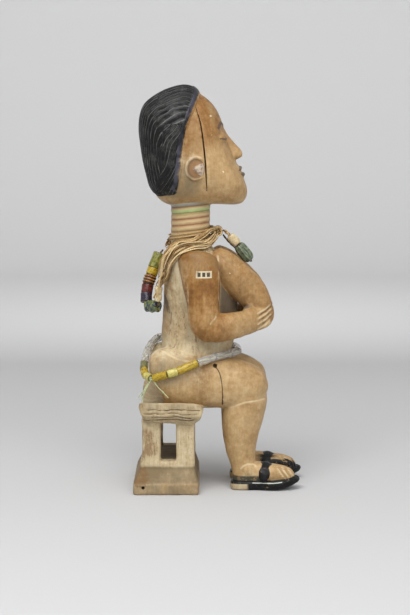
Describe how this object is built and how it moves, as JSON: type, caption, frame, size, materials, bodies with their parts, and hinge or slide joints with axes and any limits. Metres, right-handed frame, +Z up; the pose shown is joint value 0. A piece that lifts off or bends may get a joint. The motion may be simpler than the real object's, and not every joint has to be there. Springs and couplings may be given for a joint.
{
  "type": "seated female figure",
  "caption": "Carved and painted wooden figure of a seated woman holding her breasts, on a four-legged stool, with strung waist beads, a back loop of beads and a fibre neck hank.",
  "frame": {"origin": "on the floor under the middle of the carving's length and width", "axes": "+Z up, the woman faces -Y, her right side is -X"},
  "size_m": [0.12, 0.1686, 0.3985],
  "materials": {
    "painted_wood": "satin, with black and pale paint",
    "plant_fibre": "dry straw",
    "brown_string": "matt twisted fibre",
    "pale_thread": "matt twisted thread",
    "yellow_glass": "opaque, glossy",
    "pale_glass": "opaque, glossy",
    "clear_glass": "clear, worn",
    "olive_glass": "opaque, glossy",
    "lime_glass": "opaque, worn",
    "orange_glass": "opaque with dark rings",
    "red_glass": "opaque, glossy",
    "blue_glass": "opaque, glossy",
    "mixed_glass": "opaque with yellow and blue trails",
    "cream_clay": "fired clay, unglazed",
    "green_glass": "opaque, ribbed"
  },
  "bodies": {
    "root": {"seated_figure": "painted_wood", "neck_fibre": "plant_fibre", "waist_string": "pale_thread", "waist_bead_01": "yellow_glass", "waist_bead_02": "pale_glass", "waist_bead_03": "yellow_glass", "waist_bead_04": "clear_glass", "waist_bead_05": "clear_glass", "waist_bead_06": "clear_glass", "waist_bead_07": "clear_glass", "waist_bead_08": "clear_glass", "waist_bead_09": "clear_glass", "waist_bead_10": "clear_glass", "waist_bead_11": "yellow_glass", "waist_bead_12": "pale_glass", "waist_bead_13": "yellow_glass", "waist_bead_14": "clear_glass", "waist_bead_15": "clear_glass", "waist_bead_16": "clear_glass", "waist_bead_17": "clear_glass", "waist_bead_18": "clear_glass", "waist_bead_19": "olive_glass", "waist_bead_20": "yellow_glass", "waist_bead_21": "pale_glass", "necklace_string": "brown_string", "necklace_bead_01": "lime_glass", "necklace_bead_02": "yellow_glass", "necklace_bead_03": "orange_glass", "necklace_bead_04": "red_glass", "necklace_bead_05": "blue_glass", "necklace_bead_06": "mixed_glass", "necklace_bead_07": "cream_clay", "necklace_bead_08": "cream_clay", "pendant_string": "brown_string", "pendant_bead_01": "cream_clay", "pendant_bead_02": "green_glass"}
  },
  "joints": []
}
